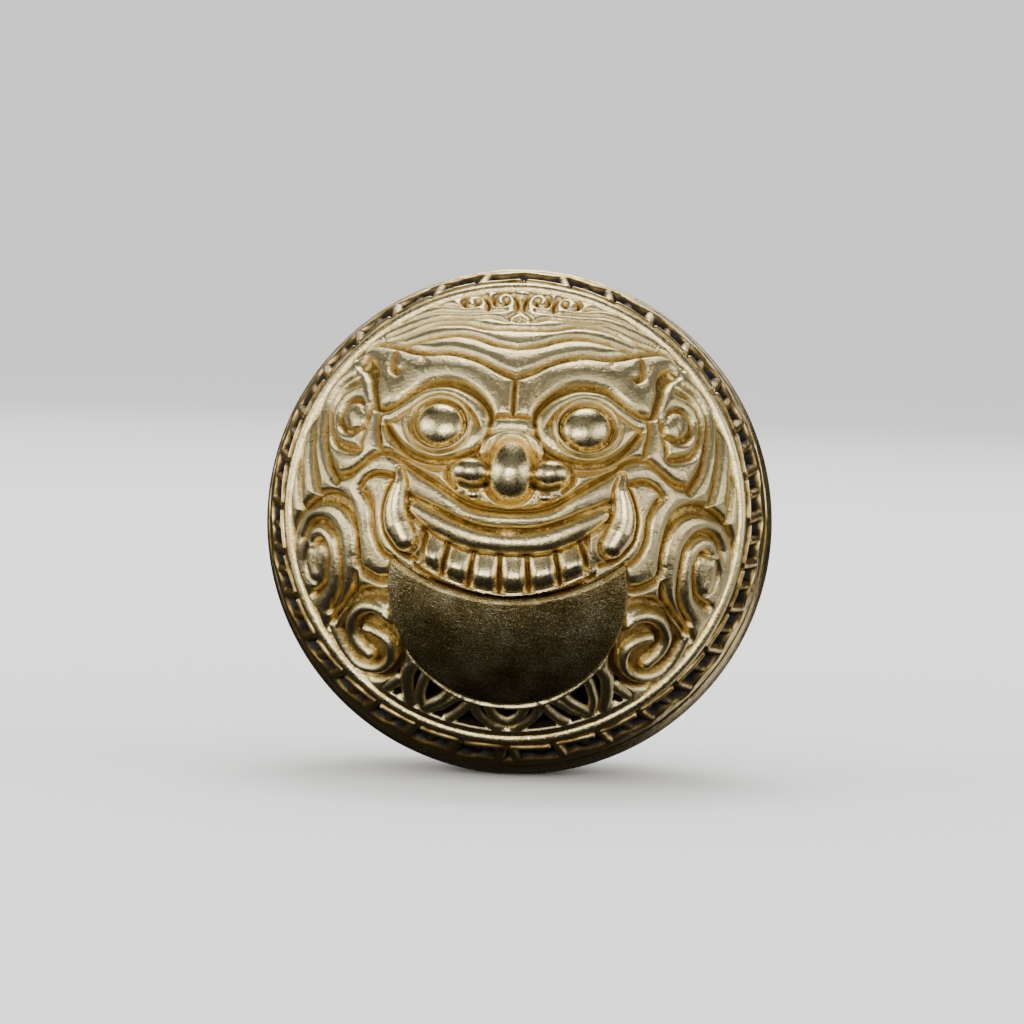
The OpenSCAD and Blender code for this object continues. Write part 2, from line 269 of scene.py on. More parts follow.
# Raised lines: height of their ground, height above it, half-width, points
RIDGES = {
    "nose_arch": (-0.5, 0.34, 0.20, [(1.7, 2.95), (1.45, 3.5), (0.85, 3.98), (0, 4.12)]),
    "curl_arc": (-0.6, 0.62, 0.36, [(7.05, -6.75), (7.65, -6.3), (8.5, -6.2), (9.15, -6.65), (9.3, -7.35),
                                    (8.95, -8.1), (8.25, -8.8)]),
    "curl_rim": (-0.6, 0.60, 0.30, [(8.35, -7.4), (7.75, -7.6), (7.1, -8.05), (6.85, -8.7), (7.0, -9.25),
                                    (7.6, -9.6), (8.4, -9.55), (9.1, -9.2), (9.65, -8.6), (10.1, -7.85),
                                    (10.45, -7.1)]),
    "spiral_lobe": (-0.35, 0.36, 0.42, [(11.8, -2.95), (11.75, -3.6), (11.6, -4.1)]),
    "ear_lobe": (-0.40, 0.40, 0.55, [(9.3, 4.95), (9.5, 5.3)]),
    "crest_bead": (-0.35, 0.35, 0.25, [(-0.05, 12.9), (0.05, 12.9)]),
    "collar_rim": (-0.78, 0.62, 0.21, [(0, -11.72), (1.5, -11.6), (2.8, -11.2), (3.8, -10.65),
                                       (4.7, -10.0), (5.5, -9.25)]),
    "collar_petal": (-0.78, 0.58, 0.33, [(1.15, -11.7), (0.75, -12.3), (0, -12.65)]),
    "collar_peak": (-0.78, 0.58, 0.32, [(1.95, -11.6), (1.75, -12.2), (1.0, -12.75), (0.3, -13.0)]),
    "collar_wave": (-0.78, 0.58, 0.35, [(2.0, -11.45), (2.4, -11.85), (3.1, -12.35), (3.9, -12.65)]),
    "collar_leaf": (-0.78, 0.58, 0.32, [(2.6, -11.2), (3.2, -11.45), (4.0, -11.85), (4.9, -11.9),
                                        (5.2, -11.2), (5.0, -10.4), (4.75, -10.0)]),
    "collar_fork": (-0.78, 0.58, 0.29, [(3.35, -11.0), (3.85, -11.4), (4.9, -11.85)]),
    "collar_horn": (-0.78, 0.62, 0.42, [(5.5, -9.3), (5.95, -9.9), (6.0, -10.8), (5.75, -11.7)]),
    "collar_ball": (-0.78, 0.60, 0.38, [(6.45, -10.3), (6.75, -10.5)]),
    "collar_end": (-0.78, 0.58, 0.37, [(6.75, -10.5), (7.3, -10.75), (7.9, -10.6)]),
    "collar_foot": (-0.78, 0.58, 0.42, [(5.9, -11.55), (6.7, -11.35), (7.5, -11.1)]),
}

# Ellipses seen from in front: x and y of the middle, half-width, half-height
EYE = (4.35, 4.6, 1.48, 1.34)
NOSE = (0.0, 1.93, 1.42, 1.95)
WING = (2.42, 1.74, 1.18, 0.92)
NOSTRIL_BALL = (2.1, 0.38, 0.50, 0.42)

# Rounded rolls: height, radii from start to end, points of the middle line
ROLLS = {
    "upper_lip": (0.62, (0.42, 0.62, 0.70, 0.68, 0.62),
                  [(5.6, -0.5), (4.85, -1.0), (3.4, -1.75), (1.8, -2.28), (0, -2.45)]),
    "tusk": (0.95, (0.30, 0.54, 0.68, 0.80, 0.92, 0.82),
             [(6.5, 1.75), (6.45, 1.0), (6.63, 0.15), (6.68, -0.7), (6.46, -1.55), (6.08, -2.24)]),
}

# The tongue: how far its disc's axis drops below the face axis, its radius, and the arc that cuts it above
# (y of its centre, radius)
TONGUE_DROP = math.radians(22)
TONGUE_R = 7.1
MOUTH_ARC = (5.5, 11.1)

# Gaps between the teeth: x and y at the lip, x and y at the tongue
TOOTH_GAPS = [(-5.0, -2.0, -5.2, -3.7), (-3.55, -2.4, -3.9, -4.4), (-2.0, -2.8, -2.3, -4.9),
              (-0.45, -3.0, -0.45, -5.2), (1.15, -3.0, 1.3, -5.1), (2.8, -2.7, 3.15, -4.7),
              (4.3, -2.2, 4.8, -3.8)]


def tongue_circle(sign):
    """Gives y_at(x), the tongue's round edge seen from in front: its upper half for sign 1, lower for -1."""
    half = math.asin(TONGUE_R / BALL_R)

    def y_at(x):
        c = np.clip(np.asarray(x) / TONGUE_R, -1, 1)
        s = sign * np.sqrt(1 - c * c)
        return BALL_R * (-math.sin(TONGUE_DROP) * math.cos(half)) + TONGUE_R * s * math.cos(TONGUE_DROP)

    return y_at


def tongue_mask(p):
    """Signed distance in mm from the tongue's edge: positive inside it."""
    axis = np.array([0, -math.sin(TONGUE_DROP), math.cos(TONGUE_DROP)])
    direction = p / np.linalg.norm(p, axis=1)[:, None]
    angle = np.arccos(np.clip(direction @ axis, -1, 1))
    disc = (math.asin(TONGUE_R / BALL_R) - angle) * BALL_R
    mouth = np.hypot(p[:, 0], p[:, 1] - MOUTH_ARC[0]) - MOUTH_ARC[1]
    return np.minimum(disc, mouth)


def near(p, line, margin):
    """Indices of the points whose front view lies within margin of the line's box."""
    low, high = line.min(0)[:2] - margin, line.max(0)[:2] + margin
    inside = (p[:, 0] > low[0]) & (p[:, 0] < high[0]) & (p[:, 1] > low[1]) & (p[:, 1] < high[1])
    return np.nonzero(inside)[0]


def ellipse_share(p, cx, cy, rx, ry):
    """Squared share of the way from an ellipse's middle to its edge, seen from in front."""
    return ((p[:, 0] - cx) / rx)**2 + ((p[:, 1] - cy) / ry)**2


def dome(share2, height, base):
    """Height of a rounded dome whose edge is at share2 of 1."""
    return base + height * np.sqrt(np.clip(1 - share2, 0, 1))


def spread(values, along):
    """Values given evenly along a line, read at shares of its length."""
    values = np.atleast_1d(values)
    return np.interp(along, np.linspace(0, 1, len(values)), values)


# The gentle slope beside each groove, the face's level between the lines, and the depth of the tongue's seat
FLANK_WIDTH = 0.95
FLANK_DEPTH = 0.20
FACE_LEVEL = -0.14
TONGUE_SEAT = 1.2


def carve(p):
    """Height above the ball at points of it, how deep in a recess (painted as shade), how much painted dark
    shade, and how polished.
    """
    drift = np.column_stack([lattice_noise(p, 4.0, 31), lattice_noise(p, 4.0, 32), 0 * p[:, 0]])
    fine_drift = np.column_stack([lattice_noise(p, 1.3, 33), lattice_noise(p, 1.3, 34), 0 * p[:, 0]])
    half = p + 0.05 * drift + 0.03 * fine_drift
    half[:, 0] = np.abs(half[:, 0])
    n = len(p)
    groove = np.zeros(n)
    flank = np.zeros(n)
    for depth, width, floor, points in GROOVES.values():
        line = on_sphere(curve(points))
        at = near(half, line, FLANK_WIDTH + np.max(floor))
        if not len(at):
            continue
        d, along = distance_to(half[at], line)
        s = np.clip((d - spread(floor, along)) / width, 0, 1)
        taper = smooth_step(-0.02, 0.05, along) if points[0][0] > 0.01 else 1
        cut = depth * (1 - (1 - (1 - s)**1.8)**(1 / 1.8)) * (0.35 + 0.65 * taper)
        groove[at] = np.maximum(groove[at], cut)
        slope = 1 - np.clip((d - spread(floor, along)) / FLANK_WIDTH, 0, 1)
        flank[at] = np.maximum(flank[at], (depth / 0.5) * slope**2)
    x, y = half[:, 0], half[:, 1]
    radius = np.hypot(p[:, 0], p[:, 1])
    tongue_gap = tongue_mask(p)
    # slow swells of the face under the lines
    swell = 0.14 * np.exp(-((x - 4.4) / 3.0)**2 - ((y - 8.1) / 0.75)**2)
    swell += 0.12 * np.exp(-(x / 5.5)**2 - ((y + 2.0) / 2.0)**2)
    swell += 0.10 * np.exp(-((x - 7.5) / 2.4)**2 - ((y - 0.5) / 3.0)**2)
    philtrum = np.exp(-(x / 3.0)**4 - ((y - 0.05) / 0.75)**4)
    swell -= 0.22 * philtrum
    swell -= 0.20 * np.exp(-((x - 8.3) / 1.5)**2 - ((y + 5.3) / 0.6)**2)
    h = FACE_LEVEL + swell - groove * (1 - 0.25 * flank) - FLANK_DEPTH * flank
    # recess depth, which the material paints as shade: browner and darker in the grooves and the philtrum
    recess = groove / 0.58 + 0.35 * philtrum
    polish = np.zeros(n)

    # the collar's sunk ground, painted dark as shade and as the dark reflection of down-facing metal
    sunk = smooth_step(-9.3, -9.9, y) * smooth_step(13.0, 12.8, radius) * smooth_step(0.0, 0.3, -tongue_gap)
    sunk *= smooth_step(0.35, 0.0, x - 7.6 - 0.6 * (y + 11.2))
    sunk *= smooth_step(-0.2, 0.2, 6.2 - x - 1.2 * (y + 9.6))
    h = h * (1 - sunk) - 0.70 * sunk
    well = smooth_step(1.95, 1.75, np.hypot(x - 8.35, y + 7.85))
    h = h * (1 - well) - 0.60 * well
    recess = recess * (1 - well) + 0.85 * well
    shade_black = smooth_step(0.0, 0.35, sunk)
    for ground, height, width, points in RIDGES.values():
        line = on_sphere(curve(points))
        at = near(half, line, 2 * width + 0.2)
        if not len(at):
            continue
        d, _ = distance_to(half[at], line)
        share = np.clip(d / (1.25 * width), 0, 1)
        top = ground + height * np.sqrt(1 - share**2)
        raised = (share < 1) & (top > h[at])
        shade_black[at] = np.where(share < 1, np.minimum(shade_black[at], smooth_step(0.65, 1.0, share)), shade_black[at])
        recess[at] = np.where(raised, np.minimum(recess[at], smooth_step(0.5, 1.0, share)), recess[at])
        h[at] = np.where(raised, top, h[at])

    # eyeball, with the rings that hold it
    ring = np.sqrt(ellipse_share(half, *EYE))
    inner = (ring < 1.28)
    h = np.where(inner, np.maximum(h, -0.30), h)
    recess = np.where(inner, recess * 0.3, recess)
    moat = np.exp(-((ring - 1.08) / 0.045)**2)
    lower = smooth_step(5.6, 4.4, y)
    outer_moat = np.exp(-((ring - 1.36) / 0.05)**2) * lower
    h -= 0.42 * moat + 0.10 * outer_moat
    h += 0.10 * np.exp(-((ring - 1.22) / 0.05)**2)
    recess = np.maximum(recess, np.maximum(0.85 * moat, 0.5 * outer_moat))
    inside = ring < 1.02
    h = np.where(inside, dome((ring / 1.03)**2, 1.0, -0.72), h)
    recess = np.where(inside, smooth_step(0.9, 1.02, ring), recess)
    polish = np.where(inside, 1, polish)

    # nose: the bulb is a little wider below than above
    bulb = half.copy()
    bulb[:, 0] = bulb[:, 0] * (1 + 0.10 * np.clip((y - 2.0) / 1.6, -1, 1))
    seat = np.sqrt(ellipse_share(bulb, *NOSE))
    moat = np.exp(-((seat - 1.07) / 0.05)**2) * smooth_step(4.1, 3.0, y)
    h = np.minimum(h, np.where(seat < 1.15, -0.5, 9)) - 0.12 * moat
    recess = np.maximum(recess, 0.6 * moat)
    for shape, points, height, base in ((WING, half, 1.10, -0.62), (NOSTRIL_BALL, half, 0.55, -0.55),
                                        (NOSE, bulb, 1.36 - 0.30 * smooth_step(1.6, 3.6, y), -0.78)):
        share = ellipse_share(points, *shape)
        top = dome(share**0.92, height, base)
        inside = (share < 1) & (top > h)
        h = np.where(inside, top, h)
        floor = 0.3 if shape is NOSTRIL_BALL else 0
        recess = np.where(inside, smooth_step(0.75, 1.0, share) + floor, recess)
        polish = np.where(inside, 1, polish)
    line = on_sphere(curve([(1.40, 1.12), (1.75, 0.92), (2.30, 0.88), (2.90, 1.06)]))
    at = near(half, line, 0.6)
    d, _ = distance_to(half[at], line)
    slit = np.exp(-(d / 0.13)**2)
    h[at] -= 0.50 * slit
    # painted shadow: the slit under the nose wing is painted dark
    shade_black[at] = np.maximum(shade_black[at], 0.7 * slit)

    # teeth: each swells out towards its lower end
    left, right = -5.15, 4.80
    lip_y = -3.0 + 0.052 * p[:, 0]**2
    top_y = lip_y + 0.3
    foot_y = -5.42 + 0.0625 * p[:, 0]**2
    in_teeth = (p[:, 1] < top_y) & (p[:, 1] > foot_y) & (p[:, 0] > left) & (p[:, 0] < right)
    down = np.clip((lip_y - p[:, 1]) / (lip_y - foot_y), 0, 1)
    tooth = -0.55 + 0.62 * smooth_step(0.0, 0.6, down)
    tooth = -0.75 + (tooth + 0.75) * (1 - np.clip((down - 0.50) / 0.51, 0, 1)**2.3)**0.5
    line_gap = np.full(n, 9.0)
    for x0, y0, x1, y1 in TOOTH_GAPS:
        line = on_sphere(curve([(x0, y0), (x1, y1)]))
        at = near(p, line, 1.2)
        d, _ = distance_to(p[at], line)
        line_gap[at] = np.minimum(line_gap[at], d)
    side = np.clip((line_gap - 0.02 - 0.10 * (1 - down)) / 0.60, 0, 1)
    tooth = -0.78 + (tooth + 0.78) * np.sqrt(np.clip(1 - (1 - side)**2.1, 0, 1))
    margin = np.minimum.reduce([top_y - p[:, 1], p[:, 1] - foot_y, p[:, 0] - left, right - p[:, 0]])
    blend = smooth_step(0.0, 0.22, margin)
    h = h * (1 - blend) + tooth * blend
    # painted shade in the gaps between the teeth and along their lower ends
    edges = np.maximum(smooth_step(0.24, 0.06, line_gap), smooth_step(0.95, 1.0, down))
    recess = np.where(in_teeth, edges, recess)
    polish = np.where(in_teeth & (line_gap > 0.2), 1, polish)
    trough = (p[:, 1] <= foot_y) & (p[:, 1] > foot_y - 0.5) & (np.abs(p[:, 0] + 0.2) < 5.4)
    h = np.where(trough, np.minimum(h, -0.6), h)
    # painted shade: the trough under the teeth counts as fully recessed
    recess = np.where(trough, 1, recess)

    # upper lip's roll and the tusks
    for height, radii, points in ROLLS.values():
        line = on_sphere(curve(points))
        at = near(half, line, 1.0)
        d, along = distance_to(half[at], line)
        r = spread(radii, along)
        share = d / r
        rim = np.exp(-((share - 1.10) / 0.10)**2)
        h[at] -= 0.22 * rim
        recess[at] = np.maximum(recess[at], 0.7 * rim)
        top = dome(share**2, height * np.sqrt(r / 0.6), -0.64)
        h[at] = np.where(share < 1, np.maximum(top, -0.62), h[at])
        recess[at] = np.where(share < 1, smooth_step(0.85, 1.0, share), recess[at])
        polish[at] = np.where(share < 1, 0.95 if height > 0.7 else 0.35, polish[at])

    # the seat round the tongue, and the join to the bead ring
    seam = np.exp(-(tongue_gap / 0.14)**2)
    h -= 0.12 * seam
    recess = np.maximum(recess, 0.6 * seam)
    seat = smooth_step(-0.05, 0.12, tongue_gap)
    h = h * (1 - seat) - TONGUE_SEAT * seat
    theta = np.arcsin(np.clip(radius / BALL_R, 0, 1))
    edge = np.exp(-(((BEAD_FRONT - theta) * BALL_R) / 0.13)**2)
    h -= 0.38 * edge
    recess = np.maximum(recess, edge)

    # cast surface: slow unevenness, grain in the recesses, and small pits
    rough = np.clip(recess, 0, 1)
    h += 0.020 * lattice_noise(p, 0.9, 1) * (1 - 0.6 * polish)
    h += (0.007 + 0.018 * rough) * lattice_noise(p, 0.28, 2) * (1 - 0.5 * polish)
    h += (0.002 + 0.012 * rough) * lattice_noise(p, 0.13, 3)
    pits = smooth_step(0.72, 0.95, lattice_noise(p, 0.24, 4) + 0.15 * lattice_noise(p, 0.11, 6))
    h -= 0.018 * pits * (1 - 0.6 * polish)
    # the small pits also make the colour darker
    return h, recess + 0.3 * pits * (1 - 0.8 * polish), shade_black, polish


def box_blur(a, r):
    """Mean over a square of 2r+1 cells, with edges repeated."""
    for axis in (0, 1):
        pad = [(r + 1, r) if i == axis else (0, 0) for i in range(2)]
        c = np.cumsum(np.pad(a, pad, mode="edge"), axis=axis)
        n = a.shape[axis]
        hi = np.take(c, np.arange(2 * r + 1, 2 * r + 1 + n), axis=axis)
        lo = np.take(c, np.arange(0, n), axis=axis)
        a = (hi - lo) / (2 * r + 1)
    return a


# ---------------------------------------------------------------------------------------------------------
# Meshes
# ---------------------------------------------------------------------------------------------------------

def make_piece(name, points_mm, faces, body, slot_name, *nodes):
    """A mesh piece from points in the ball's frame, riding on a CAD body and standing for CAD nodes."""
    mesh = bpy.data.meshes.new(name)
    mesh.from_pydata(to_world(points_mm).tolist(), [], faces if isinstance(faces, list) else faces.tolist())
    mesh.validate()
    mesh.polygons.foreach_set("use_smooth", np.ones(len(mesh.polygons), bool))
    mesh.update()
    piece = bpy.data.objects.new(name, mesh)
    bpy.context.scene.collection.objects.link(piece)
    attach(piece, body)
    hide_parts(*nodes)
    return piece


def set_attribute(piece, name, values):
    """Stores one number for each point of a piece, for its material to read."""
    layer = piece.data.attributes.new(name, "FLOAT", "POINT")
    layer.data.foreach_set("value", np.asarray(values, np.float32))


def disc_grid(n):
    """A square grid of (2n+1) squared points folded onto the unit disc, whose rim is then a circle."""
    a = np.linspace(-1, 1, 2 * n + 1)
    gx, gy = np.meshgrid(a, a, indexing="ij")
    wide = np.abs(gx) > np.abs(gy)
    r = np.where(wide, gx, gy)
    safe = np.where(r == 0, 1, r)
    phi = np.where(wide, math.pi / 4 * gy / safe, math.pi / 2 - math.pi / 4 * gx / safe)
    return r * np.cos(phi), r * np.sin(phi)


def grid_faces(rows, columns):
    """Quads of a grid of points stored row by row."""
    i = np.arange(rows - 1)[:, None]
    j = np.arange(columns - 1)[None]
    a = i * columns + j
    b = a + 1
    return np.stack([a, b, b + columns, a + columns], -1).reshape(-1, 4)


def ring_faces(around, total):
    """Quads of a closed profile of total points, repeated around times and closed on itself."""
    i = np.arange(around)[:, None]
    j = np.arange(total)[None]
    a = i * total + j
    b = ((i + 1) % around) * total + j
    a2 = i * total + (j + 1) % total
    b2 = ((i + 1) % around) * total + (j + 1) % total
    return np.stack([a, b, b2, a2], -1).reshape(-1, 4)


def grid_rim(n):
    """Indices of the disc grid's rim points, in order round it."""
    size = 2 * n + 1
    k = np.arange(2 * n)
    right = (size - 1) * size + k
    top = (size - 1 - k) * size + (size - 1)
    left = size - 1 - k
    bottom = k * size
    return np.concatenate([right, top, left, bottom])


def build_face():
    n = 290
    gx, gy = disc_grid(n)
    share = np.hypot(gx, gy)
    theta = share * BEAD_FRONT
    safe = np.where(share == 0, 1, share)
    p = np.stack([gx / safe * np.sin(theta), gy / safe * np.sin(theta), np.cos(theta)], -1).reshape(-1, 3)
    p *= BALL_R
    h, recess, shade_black, polish = carve(p)
    size = 2 * n + 1
    height = h.reshape(size, size)
    cell = BALL_R * BEAD_FRONT / n
    blur = max(2, round(0.30 / cell))
    # painted shade: colour darkens with the recess depth from carve and where a point lies below its blurred
    # surroundings
    cavity = box_blur(box_blur(height, blur), blur) - height
    recess_shade = np.clip(recess, 0, 1.2) * 0.75 + np.clip(cavity.ravel() / 0.22, -0.6, 1) * 0.45
    points = p * ((BALL_R + h) / BALL_R)[:, None]
    rim = grid_rim(n)
    rim_dir = points[rim, :2] / np.linalg.norm(points[rim, :2], axis=1)[:, None]

    # the bead ring, the skirt, the spigot, the inside and the pillar, turned round the face axis
    pillar_r, pillar_end, hole_r, hole_end = 2.6, -1.0, 1.55, 7.4
    bead_foot, bead_rise, chamfer = BALL_R - 0.32, 0.34, 0.1
    bead = [(BEAD_FRONT + (BORDER_FRONT - BEAD_FRONT) * t,
             bead_foot + bead_rise * math.sqrt(max(0, 1 - (2 * t - 1)**2))) for t in np.linspace(0.03, 1, 9)]
    rear = BALL_R * math.cos(BORDER_REAR)
    front = BALL_R * math.cos(BORDER_FRONT)
    spigot_end = rear - SPIGOT_LENGTH
    profile = [(r * math.sin(a), r * math.cos(a)) for a, r in bead]
    profile += [(SKIRT_R + chamfer, front), (SKIRT_R, front - chamfer), (SKIRT_R, rear), (SPIGOT_R, rear),
                (SPIGOT_R, spigot_end + chamfer), (SPIGOT_R - chamfer, spigot_end), (BORE_R, spigot_end),
                (BORE_R, math.sqrt(DOME_R**2 - BORE_R**2))]
    for a in np.linspace(math.asin(BORE_R / DOME_R), math.asin(pillar_r / DOME_R), 8)[1:]:
        profile.append((DOME_R * math.sin(a), DOME_R * math.cos(a)))
    profile += [(pillar_r, pillar_end), (hole_r, pillar_end), (hole_r, hole_end), (0.02, hole_end)]
    rings = [np.column_stack([rim_dir * r, np.full(len(rim), u)]) for r, u in profile]
    all_points = np.vstack([points] + rings)
    faces = [grid_faces(size, size)[:, ::-1]]
    m = len(rim)
    previous = rim
    k = np.arange(m)
    for i in range(len(profile)):
        now = len(points) + i * m + k
        faces.append(np.stack([previous, now, np.roll(now, -1), np.roll(previous, -1)], -1))
        previous = now
    piece_faces = np.vstack(faces).tolist() + [previous[::-1].tolist()]
    piece = make_piece("mask_shell", all_points, piece_faces, "figure", "carved_brass", "face_shell")
    extra = len(all_points) - len(points)
    # painted shade amounts for each point of the face; the turned rings get a little
    set_attribute(piece, "recess_shade", np.concatenate([recess_shade, np.full(extra, 0.1)]))
    set_attribute(piece, "shade_black", np.concatenate([shade_black, np.zeros(extra)]))
    set_attribute(piece, "polish", np.concatenate([polish, np.full(extra, 0.4)]))
    return piece


def build_tongue():
    columns, rows = ((300, 160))
    t = np.linspace(-1, 1, columns)
    inset, thickness = 0.04, 0.88
    x = (TONGUE_R - inset) * np.sin(t * math.pi / 2)
    low = tongue_circle(-1)(x * TONGUE_R / (TONGUE_R - inset)) + inset
    high_disc = tongue_circle(1)(x * TONGUE_R / (TONGUE_R - inset)) - inset
    high_mouth = MOUTH_ARC[0] - np.sqrt(np.maximum(MOUTH_ARC[1]**2 - x**2, 0)) - inset
    high = np.maximum(np.minimum(high_disc, high_mouth), low + 0.01)
    s = (1 - np.cos(np.linspace(0, math.pi, rows))) / 2
    s = 0.5 * s + 0.5 * np.linspace(0, 1, rows)
    grid_x = np.repeat(x, rows)
    grid_y = (low[:, None] + (high - low)[:, None] * s[None]).ravel()
    p = on_sphere(np.column_stack([grid_x, grid_y]))
    inside = tongue_mask(p)
    h = -0.06 - 0.22 * np.clip(1 - (inside - 0.03) / 0.28, 0, 1)**2
    h += 0.006 * lattice_noise(p, 0.5, 11) + 0.009 * lattice_noise(p, 0.09, 12)
    top = p * ((BALL_R + h) / BALL_R)[:, None]
    bottom = p * ((BALL_R - thickness) / BALL_R)
    count = columns * rows
    faces = [grid_faces(columns, rows)[:, ::-1], grid_faces(columns, rows) + count]
    index = np.arange(count).reshape(columns, rows)
    edge = np.concatenate([index[:-1, 0], index[-1, :-1], index[:0:-1, -1], index[0, :0:-1]])
    faces.append(np.stack([edge, edge + count, np.roll(edge, -1) + count, np.roll(edge, -1)], -1))
    piece = make_piece("tongue_blasted", np.vstack([top, bottom]), np.vstack(faces), "figure",
                       "blasted_brass", "tongue_plate")
    return piece


# Hooks round the ring, and the radius at which their widths are measured
FRET_HOOKS = 32
FRET_MEAN_R = 14.2


def fret_height(angle, w, width):
    """Height of the fret at an angle from the bottom and a distance w back from the band's front edge."""
    pitch = 2 * math.pi / FRET_HOOKS
    s = np.abs(angle) / pitch
    hook = np.floor(s)
    s = s - hook
    mm = pitch * FRET_MEAN_R
    jitter = np.sin(hook * 12.9898 + 4.1 * np.sign(angle)) * 0.5
    wave = 0.05 * np.sin(6 * angle + w) + 0.04 * np.sin(17 * angle)

    # each of these is 1 at its crest: the front bar, the stems, the rear rim and the front lip
    bar_w = 0.30 + 0.20 * s + wave
    bar_end = np.maximum(np.maximum(0.10 - s, s - 0.90), 0) * mm
    bar = np.clip(1 - (np.hypot(w - bar_w, bar_end) / (0.26 + 0.05 * jitter))**2, 0, 1)
    lean = 0.04 + 0.07 * w
    stem_s = np.minimum(np.abs(s - lean), np.abs(s - 1 - lean)) * mm
    stem = np.clip(1 - (stem_s / (0.44 + 0.06 * jitter))**2, 0, 1) * smooth_step(0.1, 0.5, w)
    half_stem = np.clip(1 - (np.abs(s - 0.5 - lean) * mm / 0.40)**2, 0, 1)
    half_stem *= (0.15 + 0.85 * np.abs(np.sin(angle))) * smooth_step(0.3, 0.9, w)
    rim_w = 2.45 + 0.20 * np.cos(2 * math.pi * s) + wave
    rim = np.where(w > rim_w, 1, np.clip(1 - ((rim_w - w) / 0.36)**2, 0, 1))
    lip = np.clip(1 - (w / 0.10)**2, 0, 1)
    top = np.maximum.reduce([np.sqrt(bar), 0.94 * np.sqrt(stem), 0.90 * np.sqrt(half_stem), np.sqrt(rim),
                             0.55 * np.sqrt(lip)])
    top -= 0.30 * np.exp(-((w - width + 0.62) / 0.16)**2)
    return top


def build_border():
    around, rows = ((3072, 72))
    width = BALL_R * (BORDER_REAR - BORDER_FRONT)
    depth, gap_angle = 0.62, 0.0015
    angle = np.linspace(-math.pi, math.pi, around, endpoint=False)
    v = np.linspace(0.0, 1, rows)
    theta = BORDER_FRONT + gap_angle + (BORDER_REAR - BORDER_FRONT - gap_angle) * v
    A, T = np.meshgrid(angle, theta, indexing="ij")
    W = (T - BORDER_FRONT) * BALL_R
    top = fret_height(A.ravel(), W.ravel(), width).reshape(A.shape)
    p = np.stack([np.sin(T) * np.sin(A), -np.sin(T) * np.cos(A), np.cos(T)], -1).reshape(-1, 3) * BALL_R
    h = -depth + depth * top.ravel()
    unevenness = 0.02 * lattice_noise(p, 0.7, 21) + 0.012 * lattice_noise(p, 0.25, 22)
    h += unevenness * smooth_step(0.1, 0.5, top.ravel())
    outer = p * ((BALL_R + h) / BALL_R)[:, None]
    rear = BALL_R * math.cos(BORDER_REAR)
    front = BALL_R * math.cos(BORDER_FRONT + gap_angle)
    rings = []
    for u in (rear, front):
        rings.append(np.column_stack([(SKIRT_R + GAP) * np.sin(angle), -(SKIRT_R + GAP) * np.cos(angle),
                                      np.full(around, u)]))
    inner = np.stack(rings, 1).reshape(-1, 3)
    grid = np.concatenate([outer.reshape(around, rows, 3), inner.reshape(around, 2, 3)], 1)
    faces = ring_faces(around, rows + 2)[:, ::-1]
    piece = make_piece("fret_border", grid.reshape(-1, 3), faces, "figure", "fret_brass", "border_ring")
    # the fret's height share, which the material paints as shade: dark at the floor, gold on top
    lift = np.concatenate([top, np.full((around, 2), 0.5)], 1)
    set_attribute(piece, "lift", lift.ravel())
    return piece


def lathe(profile, around):
    """Points and quads of a closed ring of profile points (radius, u) turned round the face axis."""
    angle = np.linspace(0, 2 * math.pi, around, endpoint=False)
    prof = np.asarray(profile, float)
    ring = np.stack([np.cos(angle)[:, None] * prof[None, :, 0], np.sin(angle)[:, None] * prof[None, :, 0],
                     np.repeat(prof[None, :, 1], around, 0)], -1)
    return ring.reshape(-1, 3), ring_faces(around, len(prof))


def build_rear():
    rear = BALL_R * math.cos(BORDER_REAR) - GAP
    recess_r, hole_r, boss_r, wall = 3.05, 1.6, 4.35, 1.5
    seat, boss_end = -12.1, -10.1
    start = math.acos(rear / BALL_R)
    end = math.pi - math.asin((recess_r + 0.15) / BALL_R)
    steps = 120
    outer = [(BALL_R * math.sin(a), BALL_R * math.cos(a)) for a in np.linspace(start + 0.006, end, steps)]
    outer = [((BALL_R - 0.08) * math.sin(start), rear)] + outer
    u_end = outer[-1][1]
    recess = [(recess_r + 0.04, u_end + 0.06), (recess_r, u_end + 0.16), (recess_r, seat - 0.05),
              (recess_r - 0.05, seat), (hole_r + 0.08, seat), (hole_r, seat + 0.08), (hole_r, boss_end)]
    inner_r = BALL_R - wall
    inside = [(boss_r, boss_end), (boss_r, -math.sqrt(inner_r**2 - boss_r**2))]
    ledge = rear - 4
    for a in np.linspace(math.pi - math.asin(boss_r / inner_r), math.acos(ledge / inner_r), 24)[1:]:
        inside.append((inner_r * math.sin(a), inner_r * math.cos(a)))
    inside += [(BORE_R, ledge), (BORE_R, rear - SPIGOT_LENGTH), (SPIGOT_R + GAP, rear - SPIGOT_LENGTH),
               (SPIGOT_R + GAP, rear)]
    points, faces = lathe(outer + recess + inside, 320)
    world = to_world(points)
    world[:, 2] = np.maximum(world[:, 2], 0)
    piece = make_piece("rear_polished", points, faces, "figure", "polished_brass", "rear_shell")
    piece.data.vertices.foreach_set("co", world.astype(np.float32).ravel())
    piece.data.update()
    return piece


# ---------------------------------------------------------------------------------------------------------
# Materials
# ---------------------------------------------------------------------------------------------------------

